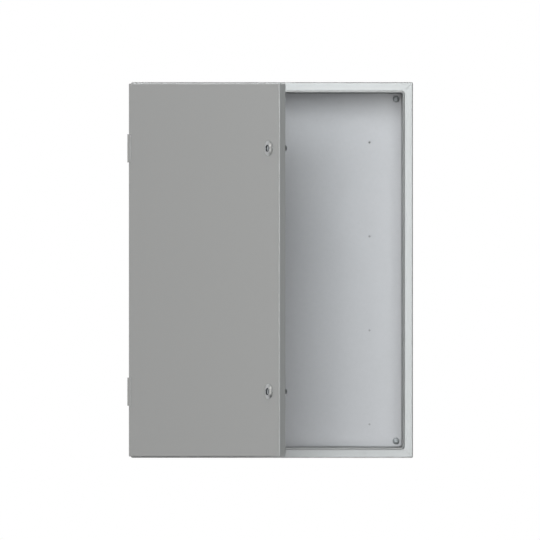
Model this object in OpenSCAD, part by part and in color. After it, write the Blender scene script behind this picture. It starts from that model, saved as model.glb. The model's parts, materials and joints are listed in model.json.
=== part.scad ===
// Wall-mounted steel enclosure with a hinged door, two quarter-turn locks and a mounting plate.
// Millimetres. The origin is the centre of the rear face, +Z is up and the door faces -Y.

/* [Body] */
// Width of the body across its side walls
body_w = 600; // [400:10:1000]
// Height of the body
body_h = 800; // [600:10:1200]
// Depth of the body from the wall to the front frame
body_d = 233; // [150:1:400]
// Thickness of the body sheet
sheet = 1.5; // [1:0.1:2]
// Outside radius of the folded front edges
bend_r = 2.2; // [2:0.1:4]
// Outside radius of the folded corners between the walls
corner_r = 3; // [2.2:0.1:6]

/* [Front frame] */
// Width of the front frame from the side wall to the opening
frame_w = 21.5; // [16:0.5:30]
// Height of the rain lip in front of the frame
lip_h = 6.5; // [5:0.5:9]
// Inside radius of the fold at the foot of the lip
lip_fold_r = 3; // [1.5:0.5:4]
// Radius of the lip's softened edges
lip_edge_r = 0.4; // [0.2:0.1:0.5]
// Corner radius of the opening
opening_r = 3; // [2:1:12]
// Width of the mitre seams in the frame's corners
seam_w = 1; // [0.3:0.1:1]
// Depth of the mitre seams
seam_depth = 0.4; // [0.2:0.1:0.8]
// Diameter of the drain holes in the bottom of the frame
drain_d = 3.6; // [2:0.1:6]
// Distance of each drain hole from the middle
drain_x = 198; // [40:1:240]

/* [Wall fixing] */
// Diameter of the holes for the wall bolts
wall_hole_d = 9; // [7:0.5:12]
// Distance of the wall holes from the sides of the body
wall_hole_inset_x = 50; // [45:1:90]
// Distance of the wall holes from the top and bottom of the body
wall_hole_inset_z = 50; // [45:1:90]

/* [Mounting plate] */
// Distance of the mounting plate's edges from the sides of the body
plate_inset = 24.5; // [22:0.5:50]
// Thickness of the mounting plate
plate_t = 2; // [1.5:0.5:4]
// Corner radius of the mounting plate
plate_corner_r = 6; // [2:1:20]
// Distance between the rear panel and the mounting plate
plate_standoff = 20; // [12:1:60]
// Distance of the fixing studs from the plate's edges
stud_inset = 11.5; // [10:0.5:20]
// Outside diameter of the spacers round the studs
spacer_d = 12; // [11:0.5:18]
// Diameter of the small holes in the plate
plate_hole_d = 4.5; // [3:0.5:8]
// Distance of the hole columns from the plate's sides
plate_hole_inset = 68; // [30:1:120]
// Height of the first hole above the plate's lower edge
plate_hole_first = 47; // [30:1:120]
// Pitch of the holes in a column
plate_hole_pitch = 200; // [50:10:250]

/* [Door] */
// How far the door stops short of the body at each side
door_inset = 3; // [1.5:0.5:5]
// Gap between the closed door and the front frame
door_gap = 1; // [0.5:0.5:3]
// Depth of the door from its face to the edges of its folded sides
door_depth = 16; // [14:0.5:20]
// Thickness of the door sheet
door_sheet = 1.5; // [1:0.1:2]
// Outside radius of the door's folded edges
door_bend_r = 2.3; // [2.1:0.1:4]
// Outside radius of the door's welded corners
door_corner_r = 2.3; // [2.1:0.1:5]
// Angle that the door stands open
door_open = 57.35; // [0:0.05:120]
// Width of the foam gasket inside the door
gasket_w = 12; // [8:0.5:16]
// Radius of the gasket's rounded edges
gasket_r = 2.5; // [1:0.5:3.5]

/* [Hinges] */
// Distance of each hinge's middle from the top or bottom of the body
hinge_inset = 141; // [80:1:200]
// Height of a hinge leaf
hinge_h = 60; // [50:1:90]
// Height of the bracket's knuckle between the leaf's ears
knuckle_h = 28; // [16:1:30]
// Distance of the hinge pin outside the body's side wall
pin_out = 4.25; // [4:0.05:6]
// Distance of the hinge pin behind the door's face
pin_depth = 6.2; // [5.5:0.1:7.5]
// Diameter of the hinge pin
pin_d = 4; // [3:0.1:4.4]
// Outside diameter of the knuckles
barrel_d = 7.2; // [6.8:0.1:8]
// How far the leaf stands proud of the door's face
leaf_proud = 1; // [0.6:0.1:2]
// How far the leaf reaches over the door's face
leaf_reach = 9; // [5:0.5:12]
// Slope of the leaf from its barrel to its face
leaf_slope = 57; // [50:1:65]
// Thickness of the bracket
bracket_t = 3.25; // [2.5:0.05:3.5]
// Depth of the bracket's foot on the side wall
foot_d = 30; // [20:1:50]
// Distance between the screws of a hinge leaf
leaf_screw_pitch = 44; // [42:1:48]
// Distance between the screws of a bracket
bracket_screw_pitch = 36; // [20:1:40]

/* [Locks] */
// Distance of each lock from the top or bottom of the body
lock_inset = 141; // [80:1:200]
// Distance of each lock from the door's free edge
lock_edge = 41; // [40:1:60]
// Diameter of the lock's bezel
bezel_d = 32; // [30:0.5:36]
// Height of the bezel in front of the door
bezel_h = 3.6; // [2.5:0.1:5]
// Height of the bezel's rim
rim_h = 0.8; // [0.5:0.1:1.2]
// Diameter of the bezel's flat crown
crown_d = 19; // [17.5:0.5:21]
// Diameter of the lock's threaded sleeve
sleeve_d = 20; // [19:0.5:22]
// Width of the sleeve across its flats
sleeve_flats = 18; // [17:0.5:19]
// Length of the sleeve behind the door's face
sleeve_l = 16; // [12:0.5:16]
// Width of the lock nut across its flats
lock_nut_af = 27; // [26:0.5:29]
// Thickness of the lock nut
lock_nut_t = 5; // [4:0.5:7]
// Diameter of the turning core
core_d = 14.4; // [13:0.1:15]
// Depth of the core's face behind the bezel's crown
core_recess = 4.5; // [1:0.5:6]
// Diameter of the key socket
socket_d = 12.4; // [11.5:0.1:12.6]
// Depth of the key socket
socket_depth = 9; // [6:0.5:11]
// Diameter of the double-bit post in the socket
post_d = 4.6; // [3.5:0.1:6]
// Depth of the post's end behind the bezel's crown
post_recess = 1.2; // [0.5:0.1:4]
// Thickness of the two bits
bit_t = 3; // [2:0.1:3.4]
// Span of the two bits
bit_span = 9.4; // [7:0.1:10]
// Width of the core's square drive
drive_w = 8; // [7:0.5:9]
// Diameter of the cam's hub
hub_d = 16.6; // [15:0.1:20]
// Distance of the hub's end behind the door's face
hub_end = 41; // [38:0.5:46]
// Width of the cam's arm
cam_w = 18; // [17:0.5:20]
// Reach of the cam from the lock's axis
cam_reach = 37; // [33:0.5:40]
// Gap between the locked cam and the back of the front frame
cam_gap = 1.5; // [1:0.1:3]
// Thickness of the cam's arm
cam_t = 3; // [2:0.5:5]
// Angle that each cam is turned back from its locked place
cam_rest = 90; // [0:1:90]

/* [Gland plate] */
// Width of the gland opening in the bottom wall
gland_w = 400; // [200:10:440]
// Depth of the gland opening
gland_d = 110; // [60:5:140]
// Distance of the opening's middle from the rear face
gland_y = 110; // [100:5:120]
// Width of the border that the gland plate rests on
gland_border = 22; // [20:1:26]
// Thickness of the gland plate
gland_t = 1.5; // [1:0.5:3]
// Thickness of the gland gasket
gland_gasket_t = 3; // [2:0.5:5]
// Corner radius of the gland opening
gland_r = 6; // [2:1:15]

/* [Earthing] */
// Diameter of the earth studs
earth_d = 8; // [6:0.5:10]
// Length of the body's earth stud
body_earth_l = 30; // [20:1:40]
// Distance of the body's earth stud from the left wall
body_earth_x = 42; // [25:1:60]
// Distance of the body's earth stud from the rear face
body_earth_y = 190; // [60:5:200]
// Length of the door's earth stud
door_earth_l = 20; // [16:1:26]
// Distance of the door's earth stud from the door's hinge edge
door_earth_x = 60; // [45:1:120]
// Distance of the door's earth stud from the door's lower edge
door_earth_z = 60; // [45:1:100]

/* [Fasteners and clearances] */
// Diameter of the mounting plate's studs and the gland studs
stud_d = 6; // [5:0.5:8]
// Diameter of the bracket screws
bracket_screw_d = 5; // [4:0.5:5]
// Diameter of the leaf screws
leaf_screw_d = 3; // [2.5:0.5:3]
// Diameter of the cam screw
cam_screw_d = 5; // [4:0.5:5]
// Radial clearance of a thread or a bolt in its nut
thread_clear = 0.05; // [0.02:0.01:0.1]
// Radial clearance of a stud or screw in a plain hole
hole_clear = 0.5; // [0.2:0.1:1]
// Radial running clearance of the hinge pins and lock cores
run_clear = 0.06; // [0.02:0.01:0.1]
// Clearance between moving pieces that don't touch
move_clear = 0.4; // [0.3:0.1:0.6]
// Clearance between the closed gasket and the rain lip
gasket_clear = 0.3; // [0.2:0.1:1]

/* [Hidden] */
$fn = 64;
over = 1;
far = 60;
deg_half_hex = 30;

// Places in the body
side_x = body_w / 2;
top_z = body_h / 2;
frame_y = -body_d;
inner_bend_r = bend_r - sheet;
inner_corner_r = corner_r - sheet;
open_w = body_w - 2 * frame_w;
open_h = body_h - 2 * frame_w;
lip_foot = sheet + lip_fold_r;
flat_mid = (bend_r + frame_w - lip_foot) / 2;

// Places of the mounting plate
plate_w = body_w - 2 * plate_inset;
plate_h = body_h - 2 * plate_inset;
plate_back_y = -sheet - plate_standoff;
plate_front_y = plate_back_y - plate_t;
stud_x = plate_w / 2 - stud_inset;
stud_z = plate_h / 2 - stud_inset;
hole_col_x = plate_w / 2 - plate_hole_inset;
hole_rows = floor((plate_h - 2 * plate_hole_first) / plate_hole_pitch) + 1;

// Proportions of a hex flange nut, from its thread
nut_h = stud_d;
nut_af = 10 / 6 * stud_d;
nut_flange_d = 14.2 / 6 * stud_d;
nut_flange_h = 1.2;
stud_tail = 2.5;

// Places of the door, shut
door_w = body_w - 2 * door_inset;
door_h = body_h - 2 * door_inset;
door_back_y = frame_y - door_gap;
door_face_y = door_back_y - door_depth;
door_in_y = door_face_y + door_sheet;
door_in_r = door_bend_r - door_sheet;
door_in_corner_r = door_corner_r - door_sheet;
gasket_h = frame_y - lip_h - gasket_clear - door_in_y;
gasket_mid = sheet / 2;

// Places of the hinges, from the pin
pin_x = -side_x - pin_out;
pin_y = door_face_y + pin_depth;
hinge_z = top_z - hinge_inset;
barrel_r = barrel_d / 2;
door_edge_dx = pin_out + door_inset;
leaf_front_dy = -pin_depth - leaf_proud;
leaf_end_dx = door_edge_dx + leaf_reach;
web_back_dy = 5;
web_left_dx = 2;
leaf_nose_dx = 1;
ramp_foot = barrel_r * [-cos(leaf_slope), -sin(leaf_slope)];
ramp_run = (pin_depth + leaf_proud - barrel_r * sin(leaf_slope)) / cos(leaf_slope);
ramp_top = ramp_foot + ramp_run * [sin(leaf_slope), -cos(leaf_slope)];
frame_dy = frame_y - pin_y;
foot_dy = frame_dy + bend_r;
foot_screw_dy = foot_dy + foot_d / 2;
leaf_screw_dy = web_back_dy - 3;
leaf_screw_in = pin_d / 2 + 1.5;
leaf_head_d = 2 * leaf_screw_d;
leaf_head_h = 0.7 * leaf_screw_d;
leaf_screw_l = door_edge_dx + door_sheet - leaf_screw_in + leaf_head_h;
bracket_nut_h = 0.8 * bracket_screw_d;

// Places of the locks, along the axis from the door's face
lock_x = side_x - door_inset - lock_edge;
lock_z = top_z - lock_inset;
bezel_r = bezel_d / 2;
crown_r = crown_d / 2;
dome_c = (bezel_r ^ 2 - crown_r ^ 2 + rim_h ^ 2 - bezel_h ^ 2) / (2 * (bezel_h - rim_h));
dome_r = sqrt(bezel_r ^ 2 + (rim_h + dome_c) ^ 2);
core_r = core_d / 2;
core_front = core_recess - bezel_h;
post_front = post_recess - bezel_h;
socket_end = core_front + socket_depth;
collar_r = core_r + 1.8;
collar_w = sleeve_l + move_clear;
cam_front = door_depth + door_gap + sheet + cam_gap;
head_depth = 5.4;
drive_end = hub_end - head_depth;
seal_d1 = sleeve_d + 1.4;
seal_d2 = bezel_d - 4;
seal_h = 1;

// Places of the gland plate
gland_floor_z = -top_z + sheet;
gland_plate_w = gland_w + 2 * gland_border;
gland_plate_d = gland_d + 2 * gland_border;
gland_stud_x = gland_w / 2 + gland_border / 2;
gland_stud_y = gland_d / 2 + gland_border / 2;

// Earth fasteners, from the stud's diameter
washer_h = 1.6;
washer_d = 2 * earth_d;
earth_nut_h = 0.8 * earth_d;
earth_nut_af = 13 / 8 * earth_d;

paint = "#D3D7D5";
zinc = "#C3C8CA";
steel = "#A9ADAF";
foam = "#3A3B3C";

// Rectangle about the origin with round corners
module rounded_rect(w, h, r) {
    square([w - 2 * r, h], center = true);
    square([w, h - 2 * r], center = true);
    for (x = [-1, 1], y = [-1, 1])
        translate([x * (w / 2 - r), y * (h / 2 - r)])
            circle(r);
}

// Sheet that stands across Y with round corners, from its back at y towards the front
module upright_sheet(w, h, r, y, t) {
    translate([0, y, 0])
        rotate([90, 0, 0])
            linear_extrude(t)
                rounded_rect(w, h, r);
}

// Outline of a folded tray: open at y = 0, with round front corners at y = -d
module tray_outline(w, d, r) {
    translate([-w / 2, r - d])
        square([w, d - r]);
    translate([r - w / 2, -d])
        square([w - 2 * r, d]);
    for (side = [-1, 1])
        translate([side * (w / 2 - r), r - d])
            circle(r);
}

// Block with round front edges and round corners, where its three outlines meet
module tray_block(w, d, h, front_r, edge_r) {
    intersection() {
        linear_extrude(h, center = true)
            tray_outline(w, d, front_r);
        rotate([0, 90, 0])
            linear_extrude(w, center = true)
                tray_outline(h, d, front_r);
        upright_sheet(w, h, edge_r, 0, d);
    }
}

// Carries a profile round a rectangle with round corners. The profile's x points outwards
// from the inner edge of the ring, and its y is the body's Y.
module ring(w, h, r) {
    for (side = [0, 1]) {
        mirror([side, 0, 0])
            translate([w / 2, 0, 0])
                linear_extrude(h - 2 * r, center = true)
                    children();
        mirror([0, 0, side])
            translate([0, 0, h / 2])
                rotate([0, -90, 0])
                    linear_extrude(w - 2 * r, center = true)
                        children();
        for (level = [0, 1])
            mirror([side, 0, 0])
                mirror([0, 0, level])
                    translate([w / 2 - r, 0, r - h / 2])
                        rotate([-90, 0, 0])
                            rotate_extrude(angle = 90)
                                translate([r, 0])
                                    children();
    }
}

// Places its children at the four corners of a rectangle in X and Z
module at_corners(x, z) {
    for (sx = [-1, 1], sz = [-1, 1])
        translate([sx * x, 0, sz * z])
            children();
}

// Turns an axis along +Z to point to the front, along -Y
module facing_front() {
    rotate([90, 0, 0])
        children();
}

// Swings the shut door to the angle at which it stands
module door_pose() {
    translate([pin_x, pin_y, 0])
        rotate([0, 0, -door_open])
            translate([-pin_x, -pin_y, 0])
                children();
}

// Puts a hinge piece at its pin
module at_hinge(z) {
    translate([pin_x, pin_y, z])
        children();
}

// Puts a lock piece on the door, with +Z along the lock's axis into the enclosure
module at_lock(z) {
    door_pose()
        translate([lock_x, door_face_y, z])
            rotate([-90, 0, 0])
                children();
}

// Hex prism with a round hole, from z = 0 up
module hex_nut(af, h, hole_d) {
    difference() {
        cylinder(d = af / cos(deg_half_hex), h = h, $fn = 6);
        translate([0, 0, -over])
            cylinder(d = hole_d, h = h + 2 * over);
    }
}

// Hex nut on a round flange that tapers into the hex
module flange_nut() {
    difference() {
        union() {
            cylinder(d = nut_flange_d, h = nut_flange_h);
            translate([0, 0, nut_flange_h])
                cylinder(d1 = nut_flange_d, d2 = nut_af, h = nut_flange_h);
            cylinder(d = nut_af / cos(deg_half_hex), h = nut_h, $fn = 6);
        }
        translate([0, 0, -over])
            cylinder(d = stud_d + 2 * thread_clear, h = nut_h + 2 * over);
    }
}

// Folded section of the rain lip: a quarter fold out of the frame, a straight lip and softened edges
module lip_profile() {
    translate([lip_foot, frame_y])
        square([over, sheet]);
    translate([0, frame_y - lip_h + lip_edge_r])
        square([sheet, lip_h - lip_fold_r - lip_edge_r]);
    translate([lip_edge_r, frame_y - lip_h])
        square([sheet - 2 * lip_edge_r, 2 * lip_edge_r]);
    for (x = [lip_edge_r, sheet - lip_edge_r])
        translate([x, frame_y - lip_h + lip_edge_r])
            circle(lip_edge_r);
    translate([lip_foot, frame_y - lip_fold_r])
        intersection() {
            difference() {
                circle(lip_foot);
                circle(lip_fold_r);
            }
            translate([-lip_foot, 0])
                square(lip_foot);
        }
}

// Folded sides, top and bottom with the front frame and its rain lip
module body_wrapper() {
    color(paint)
        difference() {
            union() {
                difference() {
                    tray_block(body_w, body_d, body_h, bend_r, corner_r);
                    translate([0, over, 0])
                        tray_block(body_w - 2 * sheet, body_d - sheet + over, body_h - 2 * sheet,
                            inner_bend_r, inner_corner_r);
                    upright_sheet(open_w + 2 * lip_foot, open_h + 2 * lip_foot, opening_r + lip_foot,
                        frame_y + sheet + over, sheet + 2 * over);
                }
                ring(open_w, open_h, opening_r)
                    lip_profile();
            }
            mitre_seams();
            for (side = [-1, 1])
                translate([side * drain_x, frame_y + sheet + over, flat_mid - top_z])
                    facing_front()
                        cylinder(d = drain_d, h = sheet + 2 * over);
            translate([0, -gland_y, -top_z - over])
                linear_extrude(sheet + 2 * over)
                    rounded_rect(gland_w, gland_d, gland_r);
            for (z = [-hinge_z, hinge_z])
                at_hinge(z)
                    bracket_screw_places()
                        translate([0, 0, pin_out - over])
                            cylinder(d = bracket_screw_d + 2 * hole_clear, h = sheet + 2 * over);
        }
}

// Fine grooves along the 45 degree seams of the frame's corners
module mitre_seams() {
    seam_l = (frame_w - lip_foot) * sqrt(2);
    for (sx = [0, 1], sz = [0, 1])
        mirror([sx, 0, 0])
            mirror([0, 0, sz])
                translate([side_x, frame_y, top_z])
                    rotate([0, 45, 0])
                        translate([-seam_w / 2, -over, -seam_l])
                            cube([seam_w, over + seam_depth, seam_l]);
}

// Panel welded into the back of the wrapper, with the wall fixing holes
module rear_panel() {
    color(paint)
        difference() {
            upright_sheet(body_w - 2 * sheet, body_h - 2 * sheet, corner_r, 0, sheet);
            at_corners(side_x - wall_hole_inset_x, top_z - wall_hole_inset_z)
                translate([0, over, 0])
                    facing_front()
                        cylinder(d = wall_hole_d, h = sheet + 2 * over);
        }
}

// Flat plate that carries the equipment
module mounting_plate() {
    color(zinc)
        difference() {
            upright_sheet(plate_w, plate_h, plate_corner_r, plate_back_y, plate_t);
            at_corners(stud_x, stud_z)
                plate_hole(stud_d + 2 * hole_clear);
            for (row = [0 : hole_rows - 1], side = [-1, 1])
                translate([side * hole_col_x, 0, plate_hole_first + row * plate_hole_pitch - plate_h / 2])
                    plate_hole(plate_hole_d);
        }
}

module plate_hole(d) {
    translate([0, plate_back_y + over, 0])
        facing_front()
            cylinder(d = d, h = plate_t + 2 * over);
}

// Studs welded to the rear panel
module plate_studs() {
    color(steel)
        at_corners(stud_x, stud_z)
            translate([0, -sheet, 0])
                facing_front()
                    cylinder(d = stud_d, h = plate_standoff + plate_t + nut_h + stud_tail);
}

// Sleeves that hold the plate off the rear panel
module plate_spacers() {
    color(zinc)
        at_corners(stud_x, stud_z)
            translate([0, -sheet, 0])
                facing_front()
                    difference() {
                        cylinder(d = spacer_d, h = plate_standoff);
                        translate([0, 0, -over])
                            cylinder(d = stud_d + 2 * hole_clear, h = plate_standoff + 2 * over);
                    }
}

// Flange nuts in front of the plate
module plate_nuts() {
    color(steel)
        at_corners(stud_x, stud_z)
            translate([0, plate_front_y, 0])
                facing_front()
                    flange_nut();
}

// Places of the gland studs: corners and the middles of the long sides
module at_gland_studs(z) {
    for (x = [-1, 0, 1], y = [-1, 1])
        translate([x * gland_stud_x, y * gland_stud_y - gland_y, z])
            children();
}

// Blank plate over the gland opening, inside the bottom wall
module gland_plate() {
    color(zinc)
        difference() {
            translate([0, -gland_y, gland_floor_z + gland_gasket_t])
                linear_extrude(gland_t)
                    rounded_rect(gland_plate_w, gland_plate_d, gland_r);
            at_gland_studs(gland_floor_z + gland_gasket_t - over)
                cylinder(d = stud_d + 2 * hole_clear, h = gland_t + 2 * over);
        }
}

// Rubber frame under the gland plate
module gland_gasket() {
    color(foam)
        difference() {
            translate([0, -gland_y, gland_floor_z])
                linear_extrude(gland_gasket_t)
                    difference() {
                        rounded_rect(gland_plate_w, gland_plate_d, gland_r);
                        rounded_rect(gland_w, gland_d, gland_r);
                    }
            at_gland_studs(gland_floor_z - over)
                cylinder(d = stud_d + 2 * hole_clear, h = gland_gasket_t + 2 * over);
        }
}

// Studs welded to the bottom wall
module gland_studs() {
    color(steel)
        at_gland_studs(gland_floor_z)
            cylinder(d = stud_d, h = gland_gasket_t + gland_t + nut_h + stud_tail);
}

// Flange nuts on the gland studs
module gland_nuts() {
    color(steel)
        at_gland_studs(gland_floor_z + gland_gasket_t + gland_t)
            flange_nut();
}

// Bores a hinge piece for its pin
module pin_bore() {
    cylinder(d = pin_d + 2 * run_clear, h = hinge_h + 2 * over, center = true);
}

// Puts an axis along +X, into the wall, at each bracket screw
module bracket_screw_places() {
    for (side = [-1, 1])
        translate([0, foot_screw_dy, side * bracket_screw_pitch / 2])
            rotate([0, 90, 0])
                children();
}

// Puts an axis along +X, into the door, at each leaf screw
module leaf_screw_places() {
    for (side = [-1, 1])
        translate([0, leaf_screw_dy, side * leaf_screw_pitch / 2])
            rotate([0, 90, 0])
                children();
}

// Bracket on the outside of the side wall: knuckle, arm and foot
module hinge_bracket(z) {
    color(paint)
        at_hinge(z)
            difference() {
                union() {
                    cylinder(r = barrel_r, h = knuckle_h, center = true);
                    translate([pin_out - bracket_t, 0, -knuckle_h / 2])
                        cube([bracket_t, foot_dy + over, knuckle_h]);
                    translate([pin_out - bracket_t, foot_dy, -hinge_h / 2])
                        cube([bracket_t, foot_d, hinge_h]);
                }
                pin_bore();
                bracket_screw_places()
                    translate([0, 0, pin_out - bracket_t])
                        countersunk_screw(hole_clear / 2);
            }
}

// Countersunk screw from the bracket's face, with its shank grown by a clearance
module countersunk_screw(grow) {
    shank_r = bracket_screw_d / 2;
    cylinder(r1 = 2 * shank_r, r2 = shank_r, h = shank_r);
    cylinder(r = shank_r + grow, h = bracket_t + sheet + bracket_nut_h + 1);
}

// Countersunk screws through the bracket's foot and the side wall
module bracket_screws(z) {
    color(steel)
        at_hinge(z)
            bracket_screw_places()
                translate([0, 0, pin_out - bracket_t])
                    countersunk_screw(0);
}

// Nuts inside the side wall
module bracket_nuts(z) {
    color(steel)
        at_hinge(z)
            bracket_screw_places()
                translate([0, 0, pin_out + sheet])
                    hex_nut(1.6 * bracket_screw_d, bracket_nut_h, bracket_screw_d + 2 * thread_clear);
}

// Plain pin through the knuckle and both ears
module hinge_pin(z) {
    color(steel)
        at_hinge(z)
            cylinder(d = pin_d, h = hinge_h, center = true);
}

// Section of the leaf: barrel, sloping front, face strip over the door and web beside it
module leaf_section() {
    difference() {
        union() {
            circle(barrel_r);
            polygon([
                ramp_foot,
                ramp_top,
                [leaf_end_dx - leaf_proud, leaf_front_dy],
                [leaf_end_dx - leaf_proud, -pin_depth],
                [door_edge_dx, -pin_depth],
                [door_edge_dx, web_back_dy],
                [web_left_dx, web_back_dy],
                [0, barrel_r]
            ]);
            translate([leaf_end_dx - leaf_proud, -pin_depth])
                circle(leaf_proud);
        }
        translate([door_edge_dx, -pin_depth])
            square(far);
    }
}

// Room in the leaf for the bracket's knuckle and for its arm as the door swings
module knuckle_room() {
    circle(barrel_r + move_clear);
    translate([leaf_nose_dx - far, -far / 2])
        square([far, far]);
    translate([pin_out + move_clear - far, 0])
        square([far, far]);
}

// Leaf on the door's edge, with an ear above and below the bracket's knuckle
module hinge_leaf(z) {
    color(paint)
        door_pose()
            at_hinge(z)
                difference() {
                    linear_extrude(hinge_h, center = true)
                        leaf_section();
                    linear_extrude(knuckle_h + 2 * move_clear, center = true)
                        knuckle_room();
                    pin_bore();
                    leaf_screw_places()
                        translate([0, 0, leaf_screw_in - thread_clear])
                            cylinder(d = leaf_screw_d + 2 * thread_clear, h = far);
                }
}

// Screws from inside the door's folded edge into the leaf
module leaf_screws(z) {
    color(steel)
        door_pose()
            at_hinge(z)
                leaf_screw_places() {
                    translate([0, 0, leaf_screw_in])
                        cylinder(d = leaf_screw_d, h = leaf_screw_l);
                    translate([0, 0, door_edge_dx + door_sheet])
                        cylinder(d = leaf_head_d, h = leaf_head_h);
                }
}

// Outline of the lock's sleeve, round with two flats, grown by a clearance
module sleeve_section(grow) {
    intersection() {
        circle(d = sleeve_d + 2 * grow);
        square([sleeve_flats + 2 * grow, sleeve_d + 2 * grow], center = true);
    }
}

// Folded tray of the door with its lock holes and hinge screw holes
module door_panel() {
    color(paint)
        difference() {
            door_pose()
                translate([0, door_back_y, 0])
                    difference() {
                        tray_block(door_w, door_depth, door_h, door_bend_r, door_corner_r);
                        translate([0, over, 0])
                            tray_block(door_w - 2 * door_sheet, door_depth - door_sheet + over,
                                door_h - 2 * door_sheet, door_in_r, door_in_corner_r);
                    }
            for (z = [-lock_z, lock_z])
                at_lock(z)
                    translate([0, 0, -over])
                        linear_extrude(door_sheet + 2 * over)
                            sleeve_section(hole_clear / 2);
            door_pose()
                for (z = [-hinge_z, hinge_z])
                    at_hinge(z)
                        leaf_screw_places()
                            translate([0, 0, door_edge_dx - over])
                                cylinder(d = leaf_screw_d + hole_clear, h = door_sheet + 2 * over);
        }
}

// Foam strip on the inside of the door, in line with the rain lip
module door_gasket() {
    color(foam)
        door_pose()
            ring(open_w, open_h, opening_r + gasket_w / 2)
                translate([gasket_mid - gasket_w / 2, door_in_y]) {
                    square([gasket_w, gasket_h - gasket_r]);
                    translate([gasket_r, 0])
                        square([gasket_w - 2 * gasket_r, gasket_h]);
                    for (x = [gasket_r, gasket_w - gasket_r])
                        translate([x, gasket_h - gasket_r])
                            circle(gasket_r);
                }
}

// Domed bezel on a flatted sleeve, bored for the core and grooved for the seal
module lock_housing(z) {
    color(zinc)
        at_lock(z)
            difference() {
                union() {
                    rotate_extrude()
                        bezel_section();
                    linear_extrude(sleeve_l)
                        sleeve_section(0);
                }
                translate([0, 0, -bezel_h - over])
                    cylinder(d = core_d + 2 * run_clear, h = bezel_h + sleeve_l + 2 * over);
                translate([0, 0, -seal_h])
                    difference() {
                        cylinder(d = seal_d2, h = seal_h + over);
                        cylinder(d = seal_d1, h = seal_h + over);
                    }
            }
}

// Half section of the bezel: a dome between the rim and the crown
module bezel_section() {
    intersection() {
        translate([0, -bezel_h])
            square([bezel_r, bezel_h]);
        translate([0, dome_c])
            circle(dome_r);
    }
}

// Flat ring between the bezel and the door
module lock_seal(z) {
    color(foam)
        at_lock(z)
            translate([0, 0, -seal_h])
                difference() {
                    cylinder(d = seal_d2, h = seal_h);
                    translate([0, 0, -over])
                        cylinder(d = seal_d1, h = seal_h + 2 * over);
                }
}

// Nut that clamps the housing to the door
module lock_nut(z) {
    color(zinc)
        at_lock(z)
            translate([0, 0, door_sheet])
                hex_nut(lock_nut_af, lock_nut_t, sleeve_d + 2 * thread_clear);
}

// Core with the key socket, a collar behind the sleeve and a square drive for the cam
module lock_core(z) {
    color(steel)
        at_lock(z)
            rotate([0, 0, -cam_rest]) {
                difference() {
                    union() {
                        translate([0, 0, core_front])
                            cylinder(d = core_d, h = collar_w - core_front);
                        translate([0, 0, collar_w])
                            cylinder(r = collar_r, h = cam_front - collar_w);
                        translate([-drive_w / 2, -drive_w / 2, cam_front])
                            cube([drive_w, drive_w, drive_end - cam_front]);
                    }
                    translate([0, 0, core_front - over])
                        cylinder(d = socket_d, h = socket_depth + over);
                    translate([0, 0, cam_front])
                        cylinder(d = cam_screw_d + 2 * thread_clear, h = far);
                }
                translate([0, 0, post_front])
                    linear_extrude(socket_end + over - post_front) {
                        circle(d = post_d);
                        square([bit_span, bit_t], center = true);
                    }
            }
}

// Cam with its arm behind the front frame and a long hub over the drive
module lock_cam(z) {
    color(zinc)
        at_lock(z)
            rotate([0, 0, -cam_rest])
                difference() {
                    union() {
                        translate([0, 0, cam_front])
                            cylinder(d = hub_d, h = hub_end - cam_front);
                        translate([0, 0, cam_front])
                            linear_extrude(cam_t) {
                                circle(d = cam_w);
                                translate([0, -cam_w / 2])
                                    square([cam_reach - cam_w / 2, cam_w]);
                                translate([cam_reach - cam_w / 2, 0])
                                    circle(d = cam_w);
                            }
                    }
                    translate([-drive_w / 2 - thread_clear, -drive_w / 2 - thread_clear, cam_front - over])
                        cube([drive_w + 2 * thread_clear, drive_w + 2 * thread_clear,
                            drive_end - cam_front + over]);
                    translate([0, 0, drive_end])
                        cylinder(d = 2 * cam_screw_d + 2 * hole_clear, h = head_depth + over);
                }
}

// Screw that holds the cam on its drive
module cam_screw(z) {
    color(steel)
        at_lock(z) {
            translate([0, 0, cam_front + over])
                cylinder(d = cam_screw_d, h = drive_end - cam_front - over);
            translate([0, 0, drive_end])
                cylinder(d = 2 * cam_screw_d, h = 0.7 * cam_screw_d);
        }
}

// Puts an earth piece on the bottom wall, with +Z up along its stud
module at_body_earth(h) {
    translate([body_earth_x - side_x, -body_earth_y, gland_floor_z + h])
        children();
}

// Puts an earth piece on the inside of the door, with +Z along its stud
module at_door_earth(h) {
    door_pose()
        translate([door_earth_x - door_w / 2, door_in_y + h, door_earth_z - door_h / 2])
            rotate([-90, 0, 0])
                children();
}

// Washer of an earth stud
module earth_washer() {
    difference() {
        cylinder(d = washer_d, h = washer_h);
        translate([0, 0, -over])
            cylinder(d = earth_d + hole_clear, h = washer_h + 2 * over);
    }
}

module earth_nut() {
    hex_nut(earth_nut_af, earth_nut_h, earth_d + 2 * thread_clear);
}

module body_earth_stud() {
    color(steel)
        at_body_earth(0)
            cylinder(d = earth_d, h = body_earth_l);
}

module body_earth_washer() {
    color(zinc)
        at_body_earth(0)
            earth_washer();
}

module body_earth_nut() {
    color(steel)
        at_body_earth(washer_h)
            earth_nut();
}

module door_earth_stud() {
    color(steel)
        at_door_earth(0)
            cylinder(d = earth_d, h = door_earth_l);
}

module door_earth_washer() {
    color(zinc)
        at_door_earth(0)
            earth_washer();
}

module door_earth_nut() {
    color(steel)
        at_door_earth(washer_h)
            earth_nut();
}

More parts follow.
